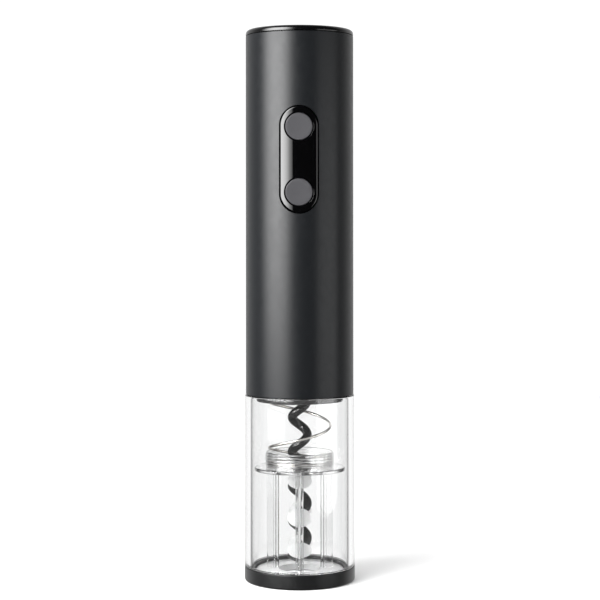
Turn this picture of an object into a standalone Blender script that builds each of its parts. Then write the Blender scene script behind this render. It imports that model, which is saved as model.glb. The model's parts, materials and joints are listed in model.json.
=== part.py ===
"""Cordless electric wine opener, standing on its base ring.

Units are metres and +Z is up. The origin is the centre of the base ring's
underside and the control panel faces -Y.
"""

import math

import bmesh
import bpy
from mathutils import Matrix, Vector

TAU = 2 * math.pi

# ---- Driving dimensions ----
GAP = 0.0003                 # air left between pieces that rest on each other
SIDES = 40                   # facets round a large turned piece
MEDIUM_SIDES = 24            # facets round a motor, carrier or button
SMALL_SIDES = 16             # facets round a pin, screw or small bore

BODY_R = 0.0250
HEIGHT = 0.2550
TUBE_WALL = 0.0015
TUBE_BOTTOM = 0.0862
TUBE_TOP = 0.2523
TUBE_BORE_R = BODY_R - TUBE_WALL

# Control panel and its two buttons, set into the front of the tube
PANEL_WIDTH = 0.0177
PANEL_HEIGHT = 0.0487
PANEL_CENTRE_Z = 0.1942
PANEL_FACE_R = 0.0249
PANEL_BACK_R = 0.0219
WINDOW_MARGIN = 0.0004
FLANGE_MARGIN = 0.0016       # how far the hidden flange reaches past the panel
FLANGE_FACE_R = 0.0231
FLANGE_BACK_R = 0.0213
CUTTER_Y = -0.0205           # middle of the prisms that cut the tube's front wall
CUTTER_DEPTH = 0.0110
BUTTON_R = 0.00615
BUTTON_HOLE_R = 0.00650
BUTTON_HOLE_CUT = (0.0180, 0.0270)
BUTTON_ZS = {"up": 0.2091, "down": 0.1795}
BUTTON_FACE = 0.0249         # distances in front of the axis
BUTTON_EDGE = 0.0003
BUTTON_FLANGE_R = 0.0068
BUTTON_FLANGE = (0.0190, 0.0198)
BUTTON_BORE_R = 0.0049
BUTTON_ROOF = 0.0235
BUTTON_STEM_R = 0.0012
BUTTON_STEM_END = 0.0218
SWITCH_SIDE = 0.0060
SWITCH = (0.0169, 0.0199)
SWITCH_BORE_R = 0.0019
SWITCH_FLOOR = 0.0173
PLUNGER_R = 0.0016
PLUNGER = (0.0186, 0.0215)
BOARD_FRONT_Y = -0.0166
BOARD_THICKNESS = 0.0014
BOARD_SIZE = (0.0170, 0.0440)

# Base ring and clear lower housing
RING_R = 0.0256
RING_TOP = 0.0067
RING_BORE_R = 0.0208
RING_LIP_R = 0.0194
RING_LIP_HEIGHT = 0.0022
RING_CHAMFER = 0.0009
CLEAR_TOP_R = 0.02535        # the housing widens a little towards its foot
CLEAR_FOOT_R = 0.02555
CLEAR_BORE_R = 0.0222
CLEAR_SHOULDER = 0.0014
NECK_R = 0.0232
NECK_BORE_R = 0.0212
NECK_TOP = 0.0940

# Drive plate that closes the tube, and the bush in it
PLATE_BOTTOM = 0.0832
PLATE_R = 0.0200
PLATE_FLANGE_R = 0.0231
PLATE_TOP = 0.0968
PLATE_STEP = 0.0914
GROOVE_R = (0.0131, 0.0154)  # seat of the return spring
GROOVE_TOP = 0.0856
HUB_R = 0.0076
HUB_MOUTH_R = 0.0063
HUB_MOUTH_TOP = 0.0900
SOCKET_PLAY = 0.00035        # round the worm's shank
SOCKET_END = 0.0010          # past the shank's end
BUSH_R = 0.0060
BUSH_CLEARANCE = 0.00035

# Neck guide that the bottle pushes up
GUIDE_FLANGE_R = 0.0210
GUIDE_FLANGE_Z = (0.0512, 0.0528)
CUP_R = 0.0160
CUP_BORE_R = 0.0151
CUP_TOP = 0.0597
GUIDE_BORE_R = 0.0080
RIB_COUNT = 4
RIB_FIN = (0.0008, 0.0153)             # half-width and outer radius
RIB_PLATE = (0.0018, 0.0110, 0.0123)   # half-width, inner and outer radius
RIB_NOSE = (0.00085, 0.00965)          # half-width and inner radius
RIB_TAPER = 0.0001                     # how much each face of the plate falls away to its edges
RIB_ROOT = 0.0006            # how far a rib runs up into the flange
FOOT_Z = (0.0025, 0.0055)
FOOT_R = 0.0205
FOOT_FLAT = (0.0191, 0.0033)  # the flat underside's radius, and where its edge meets the side
CORK_HOLE_R = 0.0095
GRIP_BEADS = ((0.0153, 0.0036), (0.0302, 0.0043), (0.0471, 0.0036))   # height, half-height
GRIP_HALF_WIDTH = 0.0055
GRIP_DEPTH = 0.0014
GRIP_BACK_R = 0.00935
GRIP_WEB = (0.0010, 0.0005)  # width and thickness
GRIP_OVERLAP = 0.0001        # how far the web stands into the beads

# Return spring between the drive plate and the guide's cup
SPRING_WIRE_R = 0.00065
SPRING_R = 0.01425
SPRING_PITCH = 0.0214
SPRING_CLOSED_RISE = 0.0015  # a turn of an end coil
SPRING_OPEN = (84, 545)      # degrees where the open turns start and end
SPRING_RUN = (-260, 840, 20)  # degrees: first, last and step
SPRING_LEFT_Z = 0.0611

# Worm (corkscrew)
WORM_WIRE_R = 0.00210
WORM_R = 0.00350
WORM_PITCH = 0.0160
WORM_PHASE_Z = 0.0034
WORM_TIP_Z = 0.0056
WORM_SHANK_Z = 0.0912        # the helix has closed onto the axis here
WORM_TOP = 0.0965
WORM_TOP_BEND = 0.0070
WORM_TIP_SHARE = 0.72        # the tip's helix radius, as a share of WORM_R
WORM_TIP_BEND = 0.0040
WORM_POINT_SHARE = 0.10      # the point's wire radius, as a share of WORM_WIRE_R
WORM_POINT_LENGTH = 0.0065

# Two-stage planetary gearbox
MODULE = 0.0007
PRESSURE_ANGLE = math.radians(25)
SUN_TEETH = 12
PLANET_TEETH = 15
RING_TEETH = SUN_TEETH + 2 * PLANET_TEETH
ADDENDUM = 0.8 * MODULE
DEDENDUM = 1.1 * MODULE
BACKLASH = 0.00020
PLANET_COUNT = 3
PLANET_ORBIT_R = MODULE * (SUN_TEETH + PLANET_TEETH) / 2
PIN_R = 0.0015
PIN_HOLE_R = 0.0018
PIN_ROOT = 0.0010            # how far a pin runs into its carrier
PIN_END = 0.0002             # how far it stands out of its planet
GEARBOX_R = 0.0206
RING_GEAR_Z = (0.0971, 0.1181)
CARRIER_R = 0.0130
STAGE2_Z = (0.1013, 0.1061)
STAGE1_Z = (0.1090, 0.1138)
CARRIER2_Z = (0.0981, 0.1009)
CARRIER1_Z = (0.1066, 0.1086)
OUTPUT_SHAFT_R = 0.0040
LONG_SCREW_R = 0.0179
LONG_SCREW_TIP = 0.0903
SCREW_HOLE_R = 0.0014
SCREW_R = 0.0010
SCREW_HEAD_R = 0.0020
SCREW_HEAD = 0.0014
SCREW_POINT = 0.0006
PLATE_HOLE_CUT = (0.0900, 0.0980)
PINION_TOP = 0.1160

# Motor
MOTOR_PLATE_Z = (0.1184, 0.1204)
CAN_Z = (0.1207, 0.1587)
CAN_R = 0.01385
CAN_WALL = 0.00095
SHAFT_R = 0.00115
SHAFT_BORE_R = 0.00145
SHAFT_Z = (0.1093, 0.1580)
CORE_R = 0.0100
CORE_Z = (0.1260, 0.1470)
CAN_EYE_R = 0.0030           # hole that the shaft leaves through
MOTOR_SCREW_R = 0.0080
MOTOR_SCREW_END = 0.1245
MOTOR_SCREW_HEAD = 0.0012
MOTOR_SCREW_HEAD_R = 0.0019
CAN_HOLE_CUT = (0.1200, 0.1230)
CAN_FACE = 0.0015
BELL_BORE_END = 0.0005
MAGNET_HALF_SPAN = 68  # degrees
MAGNET_REACH = 0.0010  # past each end of the core
AIR_GAP = 0.0005
LEAD_R = 0.0006
BELL_TOP = 0.1615
BELL_FOOT = 0.1565
BRUSH_WIDTH = 0.0024
BRUSH_REACH = (0.0036, 0.0090)
BRUSH_Z = (0.1500, 0.1570)
COMMUTATOR_R = 0.0032
COMMUTATOR_Z = (0.1490, 0.1545)

# Cells, their tray and the cap over them
CELL_R = 0.00725
CELL_LENGTH = 0.0505
CELL_BORE_R = 0.00765
CELL_OFFSET = 0.0080
CELL_ROW_Y = 0.0015
CELL_BOTTOM = 0.1902
NUB_R = 0.0027
NUB_HEIGHT = 0.0010
CELL_EDGE = 0.0004
LOW_STRIP = 0.0004
TOP_STRIP = 0.0005
CONTACT_WIRE_R = 0.00035
CONTACT_COIL_R = (0.0034, 0.0022)
TRAY_R = 0.0226
TRAY_FRONT_Y = -0.0148
TRAY_Z = (0.1880, 0.2380)
CHASSIS_R = 0.0229
CHASSIS_BORE_R = 0.0210
CHASSIS_Z = (0.0972, 0.1867)
CHASSIS_FLOOR = 0.0020
CHASSIS_WINDOW = (-0.0125, -0.0260, 0.1660)  # its low corner; the leads pass here
CAP_EDGE = 0.0015            # rounding of the cap's top edge
CAP_ROOF = 0.2520
PLUG_R = 0.0229
PLUG_BORE_R = 0.0206
PLUG_BOTTOM = 0.2450
SEAL_GROOVE = (0.2483, 0.2507)
SEAL_GROOVE_R = 0.0216
SEAL_R = 0.02262
SEAL_SECTION_R = 0.00072
CONTACT_PLATE_R = 0.0202
CONTACT_PLATE_Z = (0.2421, 0.2441)

# Finishes: colour, roughness, metallic, alpha
LOOKS = {
    "satin_black": ((0.030, 0.030, 0.032), 0.45, 0.0, 1.0),
    "gloss_black": ((0.008, 0.008, 0.009), 0.08, 0.0, 1.0),
    "button_grey": ((0.090, 0.088, 0.100), 0.60, 0.0, 1.0),
    "clear": ((0.900, 0.930, 0.940), 0.03, 0.0, 0.3),
    "frosted": ((0.800, 0.810, 0.820), 0.45, 0.0, 0.7),
    "worm_black": ((0.015, 0.015, 0.016), 0.22, 0.0, 1.0),
    "steel": ((0.700, 0.700, 0.710), 0.25, 1.0, 1.0),
    "core_steel": ((0.350, 0.350, 0.370), 0.45, 1.0, 1.0),
    "brass": ((0.750, 0.550, 0.200), 0.30, 1.0, 1.0),
    "copper": ((0.720, 0.350, 0.200), 0.35, 1.0, 1.0),
    "nylon": ((0.780, 0.770, 0.720), 0.50, 0.0, 1.0),
    "inner_black": ((0.040, 0.040, 0.042), 0.60, 0.0, 1.0),
    "ferrite": ((0.060, 0.060, 0.065), 0.70, 0.0, 1.0),
    "board_green": ((0.020, 0.140, 0.060), 0.40, 0.0, 1.0),
    "cell_green": ((0.060, 0.250, 0.120), 0.35, 0.0, 1.0),
    "rubber": ((0.020, 0.020, 0.020), 0.80, 0.0, 1.0),
    "lead_red": ((0.500, 0.020, 0.020), 0.50, 0.0, 1.0),
    "lead_black": ((0.020, 0.020, 0.020), 0.50, 0.0, 1.0),
}


# ---- Scene and materials ----

def clear_scene():
    for obj in list(bpy.data.objects):
        bpy.data.objects.remove(obj, do_unlink=True)


def new_collection(name):
    collection = bpy.data.collections.new(name)
    bpy.context.scene.collection.children.link(collection)
    return collection


clear_scene()
PARTS = new_collection("electric_wine_opener")
CUTTERS = new_collection("cutters")


def finish_material(name, look):
    colour, roughness, metallic, alpha = LOOKS[look]
    material = bpy.data.materials.new(name + "_finish")
    material.use_nodes = True
    shader = material.node_tree.nodes["Principled BSDF"]
    shader.inputs["Base Color"].default_value = (*colour, 1.0)
    shader.inputs["Roughness"].default_value = roughness
    shader.inputs["Metallic"].default_value = metallic
    shader.inputs["Alpha"].default_value = alpha
    return material


def add_object(name, data, look):
    """Link an object as a piece, or as a hidden cutter when it has no look."""
    obj = bpy.data.objects.new(name, data)
    if look is None:
        CUTTERS.objects.link(obj)
        obj.hide_render = True
        obj.display_type = "WIRE"
    else:
        PARTS.objects.link(obj)
        data.materials.append(finish_material(name, look))
    return obj


def mesh_object(name, bm, look=None):
    mesh = bpy.data.meshes.new(name)
    bmesh.ops.recalc_face_normals(bm, faces=bm.faces[:])
    bm.to_mesh(mesh)
    bm.free()
    mesh.shade_smooth()
    mesh.set_sharp_from_angle(angle=math.radians(35))
    return add_object(name, mesh, look)


# ---- Shapes ----

def box(name, low, high, look=None):
    low, high = Vector(low), Vector(high)
    bm = bmesh.new()
    fit = Matrix.Translation((low + high) / 2) @ Matrix.Diagonal((*(high - low), 1.0))
    bmesh.ops.create_cube(bm, size=1.0, matrix=fit)
    return mesh_object(name, bm, look)


def cylinder(name, radius, z_span, look=None, centre=(0.0, 0.0), sides=SMALL_SIDES):
    bottom, top = z_span
    bm = bmesh.new()
    place = Matrix.Translation((*centre, (bottom + top) / 2))
    bmesh.ops.create_cone(
        bm, cap_ends=True, segments=sides, radius1=radius, radius2=radius, depth=top - bottom, matrix=place
    )
    return mesh_object(name, bm, look)


def turned(name, profile, look=None, sides=SIDES):
    """Turn a profile of (radius, height) points about Z.

    The points run down the outer side. A profile that starts on the axis is a
    solid, and any other profile closes on itself to make a ring.
    """
    mesh = bpy.data.meshes.new(name)
    count = len(profile)
    edges = [(i, i + 1) for i in range(count - 1)]
    if profile[0][0] > 0:
        edges.append((count - 1, 0))
    mesh.from_pydata([(radius, 0.0, height) for radius, height in profile], edges, [])
    obj = add_object(name, mesh, look)
    screw = obj.modifiers.new("turn", "SCREW")
    screw.angle = TAU
    screw.steps = sides
    screw.render_steps = sides
    screw.use_merge_vertices = True
    screw.merge_threshold = 0.00001
    screw.use_smooth_shade = True
    return obj


def circle(radius, centre=(0.0, 0.0), sides=SMALL_SIDES):
    angles = [TAU * i / sides for i in range(sides)]
    return [(centre[0] + radius * math.cos(a), centre[1] + radius * math.sin(a)) for a in angles]


def extruded(name, outlines, z_span, look=None):
    """Extrude closed outlines along Z, where the inner ones are holes."""
    curve = bpy.data.curves.new(name, "CURVE")
    curve.dimensions = "2D"
    curve.fill_mode = "BOTH"
    curve.extrude = (z_span[1] - z_span[0]) / 2
    for outline in outlines:
        spline = curve.splines.new("POLY")
        spline.points.add(len(outline) - 1)
        for point, (x, y) in zip(spline.points, outline):
            point.co = (x, y, 0.0, 1.0)
        spline.use_cyclic_u = True
    obj = add_object(name, curve, look)
    obj.location.z = (z_span[0] + z_span[1]) / 2
    return obj


def as_mesh(obj):
    """Replace a curve object by a welded mesh, so that Booleans can use it."""
    bpy.context.view_layer.update()
    evaluated = obj.evaluated_get(bpy.context.evaluated_depsgraph_get())
    mesh = bpy.data.meshes.new_from_object(evaluated)
    bm = bmesh.new()
    bm.from_mesh(mesh)
    bmesh.ops.remove_doubles(bm, verts=bm.verts[:], dist=0.000001)
    bmesh.ops.recalc_face_normals(bm, faces=bm.faces[:])
    bm.to_mesh(mesh)
    bm.free()
    name = obj.name
    collection = obj.users_collection[0]
    obj.name = name + "_curve"
    solid = bpy.data.objects.new(name, mesh)
    solid.matrix_world = obj.matrix_world
    solid.hide_render = obj.hide_render
    solid.display_type = obj.display_type
    collection.objects.link(solid)
    bpy.data.objects.remove(obj, do_unlink=True)
    return solid


def wire(name, points, radius, look, widths=None):
    """Sweep a round wire along points; widths scale its radius at each one."""
    curve = bpy.data.curves.new(name, "CURVE")
    curve.dimensions = "3D"
    curve.bevel_depth = radius
    curve.bevel_resolution = 2
    curve.use_fill_caps = True
    spline = curve.splines.new("POLY")
    spline.points.add(len(points) - 1)
    for index, (point, place) in enumerate(zip(spline.points, points)):
        point.co = (*place, 1.0)
        point.radius = widths[index] if widths else 1.0
    return add_object(name, curve, look)


def combine(obj, operation, *others):
    for other in others:
        boolean = obj.modifiers.new(operation.lower(), "BOOLEAN")
        boolean.operation = operation
        boolean.solver = "EXACT"
        boolean.object = other


def face_front(obj, height):
    """Turn a piece made along +Z to face -Y, with its foot on the Z axis."""
    obj.rotation_euler.x = TAU / 4
    obj.location = (0.0, 0.0, height)
    return obj


def ease(value):
    value = min(max(value, 0.0), 1.0)
    return value * value * (3 - 2 * value)


# ---- Body tube, control panel and buttons ----

def stadium(width, height, arc_steps=10):
    radius = width / 2
    straight = height / 2 - radius
    outline = []
    for end, start in ((1, 0.0), (-1, math.pi)):
        for i in range(arc_steps + 1):
            angle = start + math.pi * i / arc_steps
            outline.append((radius * math.cos(angle), end * straight + radius * math.sin(angle)))
    return outline


def stadium_cutter(name, margin):
    """A prism in the panel's outline that runs through the tube's front wall."""
    outline = stadium(PANEL_WIDTH + 2 * margin, PANEL_HEIGHT + 2 * margin)
    cutter = as_mesh(extruded(name, [outline], (-CUTTER_DEPTH / 2, CUTTER_DEPTH / 2)))
    cutter.rotation_euler.x = TAU / 4
    cutter.location = (0.0, CUTTER_Y, PANEL_CENTRE_Z)
    return cutter


def build_body_tube():
    profile = [(BODY_R, TUBE_TOP), (BODY_R, TUBE_BOTTOM), (TUBE_BORE_R, TUBE_BOTTOM), (TUBE_BORE_R, TUBE_TOP)]
    tube = turned("body_tube", profile, "satin_black")
    combine(tube, "DIFFERENCE", stadium_cutter("window_cutter", WINDOW_MARGIN))


def curved_slab(name, inner_r, outer_r, look=None):
    top = PANEL_CENTRE_Z + PANEL_HEIGHT
    bottom = PANEL_CENTRE_Z - PANEL_HEIGHT
    return turned(name, [(outer_r, top), (outer_r, bottom), (inner_r, bottom), (inner_r, top)], look)


def build_button_panel():
    flange = curved_slab("panel_flange", FLANGE_BACK_R, FLANGE_FACE_R)
    combine(flange, "INTERSECT", stadium_cutter("flange_cutter", FLANGE_MARGIN))
    panel = curved_slab("button_panel", PANEL_BACK_R, PANEL_FACE_R, "gloss_black")
    combine(panel, "INTERSECT", stadium_cutter("panel_cutter", 0.0))
    combine(panel, "UNION", flange)
    for side, height in BUTTON_ZS.items():
        hole = cylinder(side + "_button_cutter", BUTTON_HOLE_R, BUTTON_HOLE_CUT, sides=MEDIUM_SIDES)
        combine(panel, "DIFFERENCE", face_front(hole, height))


def build_button(side):
    """A hollow cap with a retaining flange and a stem over the switch."""
    profile = [
        (0.0, BUTTON_FACE), (BUTTON_R - BUTTON_EDGE, BUTTON_FACE), (BUTTON_R, BUTTON_FACE - BUTTON_EDGE),
        (BUTTON_R, BUTTON_FLANGE[1]), (BUTTON_FLANGE_R, BUTTON_FLANGE[1]),
        (BUTTON_FLANGE_R, BUTTON_FLANGE[0]), (BUTTON_BORE_R, BUTTON_FLANGE[0]), (BUTTON_BORE_R, BUTTON_ROOF),
        (BUTTON_STEM_R, BUTTON_ROOF), (BUTTON_STEM_R, BUTTON_STEM_END), (0.0, BUTTON_STEM_END),
    ]
    face_front(turned("button_" + side, profile, "button_grey", MEDIUM_SIDES), BUTTON_ZS[side])


def build_switch(side):
    height = BUTTON_ZS[side]
    half = SWITCH_SIDE / 2
    back, front = SWITCH
    body = box("switch_" + side, (-half, -front, height - half), (half, -back, height + half), "inner_black")
    bore = cylinder(side + "_plunger_cutter", SWITCH_BORE_R, (SWITCH_FLOOR, front + 0.0010))
    combine(body, "DIFFERENCE", face_front(bore, height))
    face_front(cylinder("plunger_" + side, PLUNGER_R, PLUNGER, "nylon"), height)


def build_control_board():
    half_width, half_height = BOARD_SIZE[0] / 2, BOARD_SIZE[1] / 2
    low = (-half_width, BOARD_FRONT_Y, PANEL_CENTRE_Z - half_height)
    high = (half_width, BOARD_FRONT_Y + BOARD_THICKNESS, PANEL_CENTRE_Z + half_height)
    box("control_board", low, high, "board_green")


# ---- Base ring, clear housing and drive plate ----

def build_base_ring():
    profile = [
        (RING_BORE_R, RING_TOP), (RING_R, RING_TOP),
        (RING_R, RING_CHAMFER), (RING_R - 0.3 * RING_CHAMFER, 0.3 * RING_CHAMFER),
        (RING_R - RING_CHAMFER, 0.0), (RING_LIP_R, 0.0), (RING_LIP_R, RING_LIP_HEIGHT),
        (RING_BORE_R, RING_LIP_HEIGHT),
    ]
    turned("base_ring", profile, "satin_black")


def build_clear_housing():
    shoulder = TUBE_BOTTOM - GAP
    foot = RING_TOP + GAP
    profile = [
        (NECK_R, NECK_TOP), (NECK_R, shoulder), (CLEAR_TOP_R, shoulder), (CLEAR_FOOT_R, foot),
        (CLEAR_BORE_R, foot), (CLEAR_BORE_R, shoulder - CLEAR_SHOULDER), (NECK_BORE_R, shoulder),
        (NECK_BORE_R, NECK_TOP),
    ]
    turned("clear_housing", profile, "clear")


def around(count, radius, start=0.0):
    angles = [start + TAU * i / count for i in range(count)]
    return [(radius * math.cos(a), radius * math.sin(a)) for a in angles]


def screw_hole(name, z_span, centre):
    return cylinder(name, SCREW_HOLE_R, z_span, centre=centre, sides=12)


def build_drive_plate():
    """The plate that closes the tube, with the spring's seat, the hub's well and a bush."""
    flange_bottom = NECK_TOP + GAP
    well_r = HUB_R + GAP
    bush_hole_r = BUSH_R + GAP
    profile = [
        (PLATE_FLANGE_R, PLATE_TOP), (PLATE_FLANGE_R, flange_bottom), (PLATE_R, flange_bottom),
        (PLATE_R, PLATE_BOTTOM), (GROOVE_R[1], PLATE_BOTTOM), (GROOVE_R[1], GROOVE_TOP),
        (GROOVE_R[0], GROOVE_TOP), (GROOVE_R[0], PLATE_BOTTOM), (well_r, PLATE_BOTTOM), (well_r, PLATE_STEP),
        (bush_hole_r, PLATE_STEP), (bush_hole_r, PLATE_TOP),
    ]
    plate = turned("drive_plate", profile, "inner_black", 32)
    for index, centre in enumerate(around(3, LONG_SCREW_R, TAU / 6)):
        combine(plate, "DIFFERENCE", screw_hole(f"plate_hole_{index}", PLATE_HOLE_CUT, centre))
    bore_r = OUTPUT_SHAFT_R + BUSH_CLEARANCE
    foot = PLATE_STEP + GAP
    bush = [(BUSH_R, PLATE_TOP), (BUSH_R, foot), (bore_r, foot), (bore_r, PLATE_TOP)]
    turned("output_bush", bush, "brass", SMALL_SIDES)


# ---- Neck guide, grips and return spring ----

def rib_outline(angle, arc_steps=8):
    """A flat plate with a fin that points outward and an oval nose that points inward."""
    fin_half, fin_r = RIB_FIN
    plate_half, plate_inner, plate_outer = RIB_PLATE
    nose_half, nose_r = RIB_NOSE
    points = [
        (plate_outer, -fin_half), (fin_r, -fin_half), (fin_r, fin_half), (plate_outer, fin_half),
        (plate_outer - RIB_TAPER, plate_half), (plate_inner + RIB_TAPER, plate_half),
    ]
    for i in range(arc_steps + 1):
        a = math.pi * i / arc_steps
        points.append((plate_inner - (plate_inner - nose_r) * math.sin(a), nose_half * math.cos(a)))
    points += [(plate_inner + RIB_TAPER, -plate_half), (plate_outer - RIB_TAPER, -plate_half)]
    c, s = math.cos(angle), math.sin(angle)
    return [(x * c - y * s, x * s + y * c) for x, y in points]


def build_guide_cage():
    bottom, top = GUIDE_FLANGE_Z
    profile = [
        (CUP_BORE_R, CUP_TOP), (CUP_R - 0.0007, CUP_TOP), (CUP_R - 0.0002, CUP_TOP - 0.0003),
        (CUP_R, CUP_TOP - 0.0009), (CUP_R, top),
        (GUIDE_FLANGE_R, top), (GUIDE_FLANGE_R, bottom), (GUIDE_BORE_R, bottom), (GUIDE_BORE_R, top),
        (CUP_BORE_R, top),
    ]
    cage = turned("guide_cage", profile, "clear")
    for index in range(RIB_COUNT):
        outline = rib_outline(TAU * index / RIB_COUNT)
        rib = extruded(f"rib_{index}", [outline], (FOOT_Z[1] + GAP, bottom + RIB_ROOT))
        combine(cage, "UNION", as_mesh(rib))


def build_guide_foot():
    """A thick disc: the ribs stand on it, and the bottle's lip meets its flat underside."""
    bottom, top = FOOT_Z
    disc = [
        (CORK_HOLE_R, top), (FOOT_R, top), (FOOT_R, FOOT_FLAT[1]), (FOOT_FLAT[0], bottom),
        (CORK_HOLE_R, bottom),
    ]
    turned("guide_foot", disc, "clear")


def grip_bead(name, height, half_height):
    """Half an ellipsoid whose flat back stands against a rib's inner edge."""
    size = (GRIP_HALF_WIDTH, GRIP_DEPTH, half_height)
    bm = bmesh.new()
    bmesh.ops.create_uvsphere(bm, u_segments=12, v_segments=6, radius=1.0)
    bm.transform(Matrix.Translation((0.0, -GRIP_BACK_R, height)) @ Matrix.Diagonal((*size, 1.0)))
    cut = bmesh.ops.bisect_plane(
        bm, geom=bm.verts[:] + bm.edges[:] + bm.faces[:], dist=0.0000001,
        plane_co=(0.0, -GRIP_BACK_R, 0.0), plane_no=(0.0, 1.0, 0.0), clear_inner=True,
    )
    rim = [item for item in cut["geom_cut"] if isinstance(item, bmesh.types.BMEdge)]
    bmesh.ops.edgeloop_fill(bm, edges=rim)
    return mesh_object(name, bm)


def build_grip_strip(name, turn):
    """Three beads on one thin web; the rear strip is the front one turned round."""
    width, thickness = GRIP_WEB
    back = -GRIP_BACK_R + GRIP_OVERLAP
    low = (-width / 2, back, GRIP_BEADS[0][0])
    high = (width / 2, back + thickness, GRIP_BEADS[-1][0])
    strip = box(name, low, high, "frosted")
    for index, (height, half_height) in enumerate(GRIP_BEADS):
        bead = grip_bead(f"{name}_bead_{index}", height, half_height)
        bead.rotation_euler.z = turn
        combine(strip, "UNION", bead)
    strip.rotation_euler.z = turn


def spring_height(angle):
    """Height of the wire's centre: open turns between two closed end coils."""
    start, end = (math.radians(angle_end) for angle_end in SPRING_OPEN)
    turns = angle / TAU
    open_turns = (min(max(angle, start), end) - start) / TAU
    end_turns = turns - open_turns
    base = SPRING_LEFT_Z - SPRING_PITCH * (math.pi - start) / TAU
    return base + SPRING_PITCH * open_turns + SPRING_CLOSED_RISE * (end_turns - start / TAU)


def build_return_spring():
    first, last, step = (math.radians(run) for run in SPRING_RUN)
    count = round((last - first) / step)
    points = []
    for i in range(count + 1):
        angle = first + step * i
        height = (spring_height(angle - step) + spring_height(angle) + spring_height(angle + step)) / 3
        points.append((SPRING_R * math.cos(angle), SPRING_R * math.sin(angle), height))
    wire("return_spring", points, SPRING_WIRE_R, "steel")


# ---- Worm ----

def worm_point(height):
    """Centre of the wire, which closes onto the axis at the top and a little at the tip."""
    angle = TAU * (height - WORM_PHASE_Z) / WORM_PITCH
    into_axis = ease((WORM_SHANK_Z - height) / WORM_TOP_BEND)
    from_tip = WORM_TIP_SHARE + (1 - WORM_TIP_SHARE) * ease((height - WORM_TIP_Z) / WORM_TIP_BEND)
    radius = WORM_R * into_axis * from_tip
    return (radius * math.cos(angle), radius * math.sin(angle), height)


def build_worm():
    steps_per_turn = 14
    length = WORM_SHANK_Z - WORM_TIP_Z
    count = round(length / WORM_PITCH * steps_per_turn)
    heights = [WORM_TIP_Z + length * i / count for i in range(count + 1)]
    points = [worm_point(height) for height in heights]
    widths = []
    for height in heights:
        grown = ease((height - WORM_TIP_Z) / WORM_POINT_LENGTH)
        widths.append(WORM_POINT_SHARE + (1 - WORM_POINT_SHARE) * grown)
    points.append((0.0, 0.0, WORM_TOP))
    widths.append(1.0)
    wire("worm", points, WORM_WIRE_R, "worm_black", widths)


# ---- Gearbox ----

def involute(angle):
    return math.tan(angle) - angle


def gear_outline(teeth, addendum, dedendum, backlash):
    """Tooth outline with a tooth centred on +X; four points make a tooth."""
    pitch_r = MODULE * teeth / 2
    base_r = pitch_r * math.cos(PRESSURE_ANGLE)
    pitch_half = (math.pi * MODULE / 4 - backlash / 2) / pitch_r

    def half_angle(radius):
        pressure = math.acos(base_r / max(radius, base_r))
        return pitch_half + involute(PRESSURE_ANGLE) - involute(pressure)

    root_r, tip_r = pitch_r - dedendum, pitch_r + addendum
    corners = [(root_r, -half_angle(root_r)), (tip_r, -half_angle(tip_r)),
               (tip_r, half_angle(tip_r)), (root_r, half_angle(root_r))]
    outline = []
    for tooth in range(teeth):
        centre = TAU * tooth / teeth
        for radius, offset in corners:
            outline.append((radius * math.cos(centre + offset), radius * math.sin(centre + offset)))
    return outline


def outer_gear(teeth):
    return gear_outline(teeth, ADDENDUM, DEDENDUM, BACKLASH)


def build_ring_gear():
    """A gearbox body whose bore is toothed for both stages."""
    toothed_bore = gear_outline(RING_TEETH, DEDENDUM, ADDENDUM, -BACKLASH)
    outlines = [circle(GEARBOX_R, sides=SIDES), toothed_bore]
    for centre in around(3, LONG_SCREW_R, TAU / 6):
        outlines.append(circle(SCREW_HOLE_R, centre, sides=12))
    extruded("ring_gear", outlines, RING_GEAR_Z, "nylon")


def build_planets(stage, z_span, look):
    centres = around(PLANET_COUNT, PLANET_ORBIT_R)
    for index, (x, y) in enumerate(centres):
        name = f"planet_{stage}_{'abc'[index]}"
        planet = extruded(name, [outer_gear(PLANET_TEETH), circle(PIN_HOLE_R)], z_span, look)
        planet.location.x = x
        planet.location.y = y
        planet.rotation_euler.z = TAU * index / PLANET_COUNT


def add_planet_pins(carrier, stage, z_span):
    for index, centre in enumerate(around(PLANET_COUNT, PLANET_ORBIT_R)):
        combine(carrier, "UNION", cylinder(f"pin_{stage}_{index}", PIN_R, z_span, centre=centre))


def build_first_carrier():
    bottom, top = CARRIER1_Z
    disc = [(0.0, top), (CARRIER_R, top), (CARRIER_R, bottom), (0.0, bottom)]
    carrier = turned("carrier_1", disc, "steel", MEDIUM_SIDES)
    add_planet_pins(carrier, 1, (bottom + PIN_ROOT, STAGE1_Z[1] + PIN_END))
    sun = extruded("second_sun", [outer_gear(SUN_TEETH)], (STAGE2_Z[0], bottom + PIN_ROOT))
    combine(carrier, "UNION", as_mesh(sun))


def build_output_carrier():
    """The second carrier, its hollow shaft and the hub that the worm leaves through."""
    bottom, top = CARRIER2_Z
    socket_r = WORM_WIRE_R + SOCKET_PLAY
    socket_top = WORM_TOP + SOCKET_END
    hub_bottom, hub_top = PLATE_BOTTOM + GAP, PLATE_STEP - GAP
    profile = [
        (0.0, top), (CARRIER_R, top), (CARRIER_R, bottom), (OUTPUT_SHAFT_R, bottom),
        (OUTPUT_SHAFT_R, hub_top), (HUB_R, hub_top), (HUB_R, hub_bottom), (HUB_MOUTH_R, hub_bottom),
        (HUB_MOUTH_R, HUB_MOUTH_TOP), (socket_r, HUB_MOUTH_TOP + SOCKET_PLAY), (socket_r, socket_top),
        (0.0, socket_top),
    ]
    carrier = turned("output_carrier", profile, "steel", MEDIUM_SIDES)
    add_planet_pins(carrier, 2, (top - PIN_ROOT, STAGE2_Z[1] + PIN_END))


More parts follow.
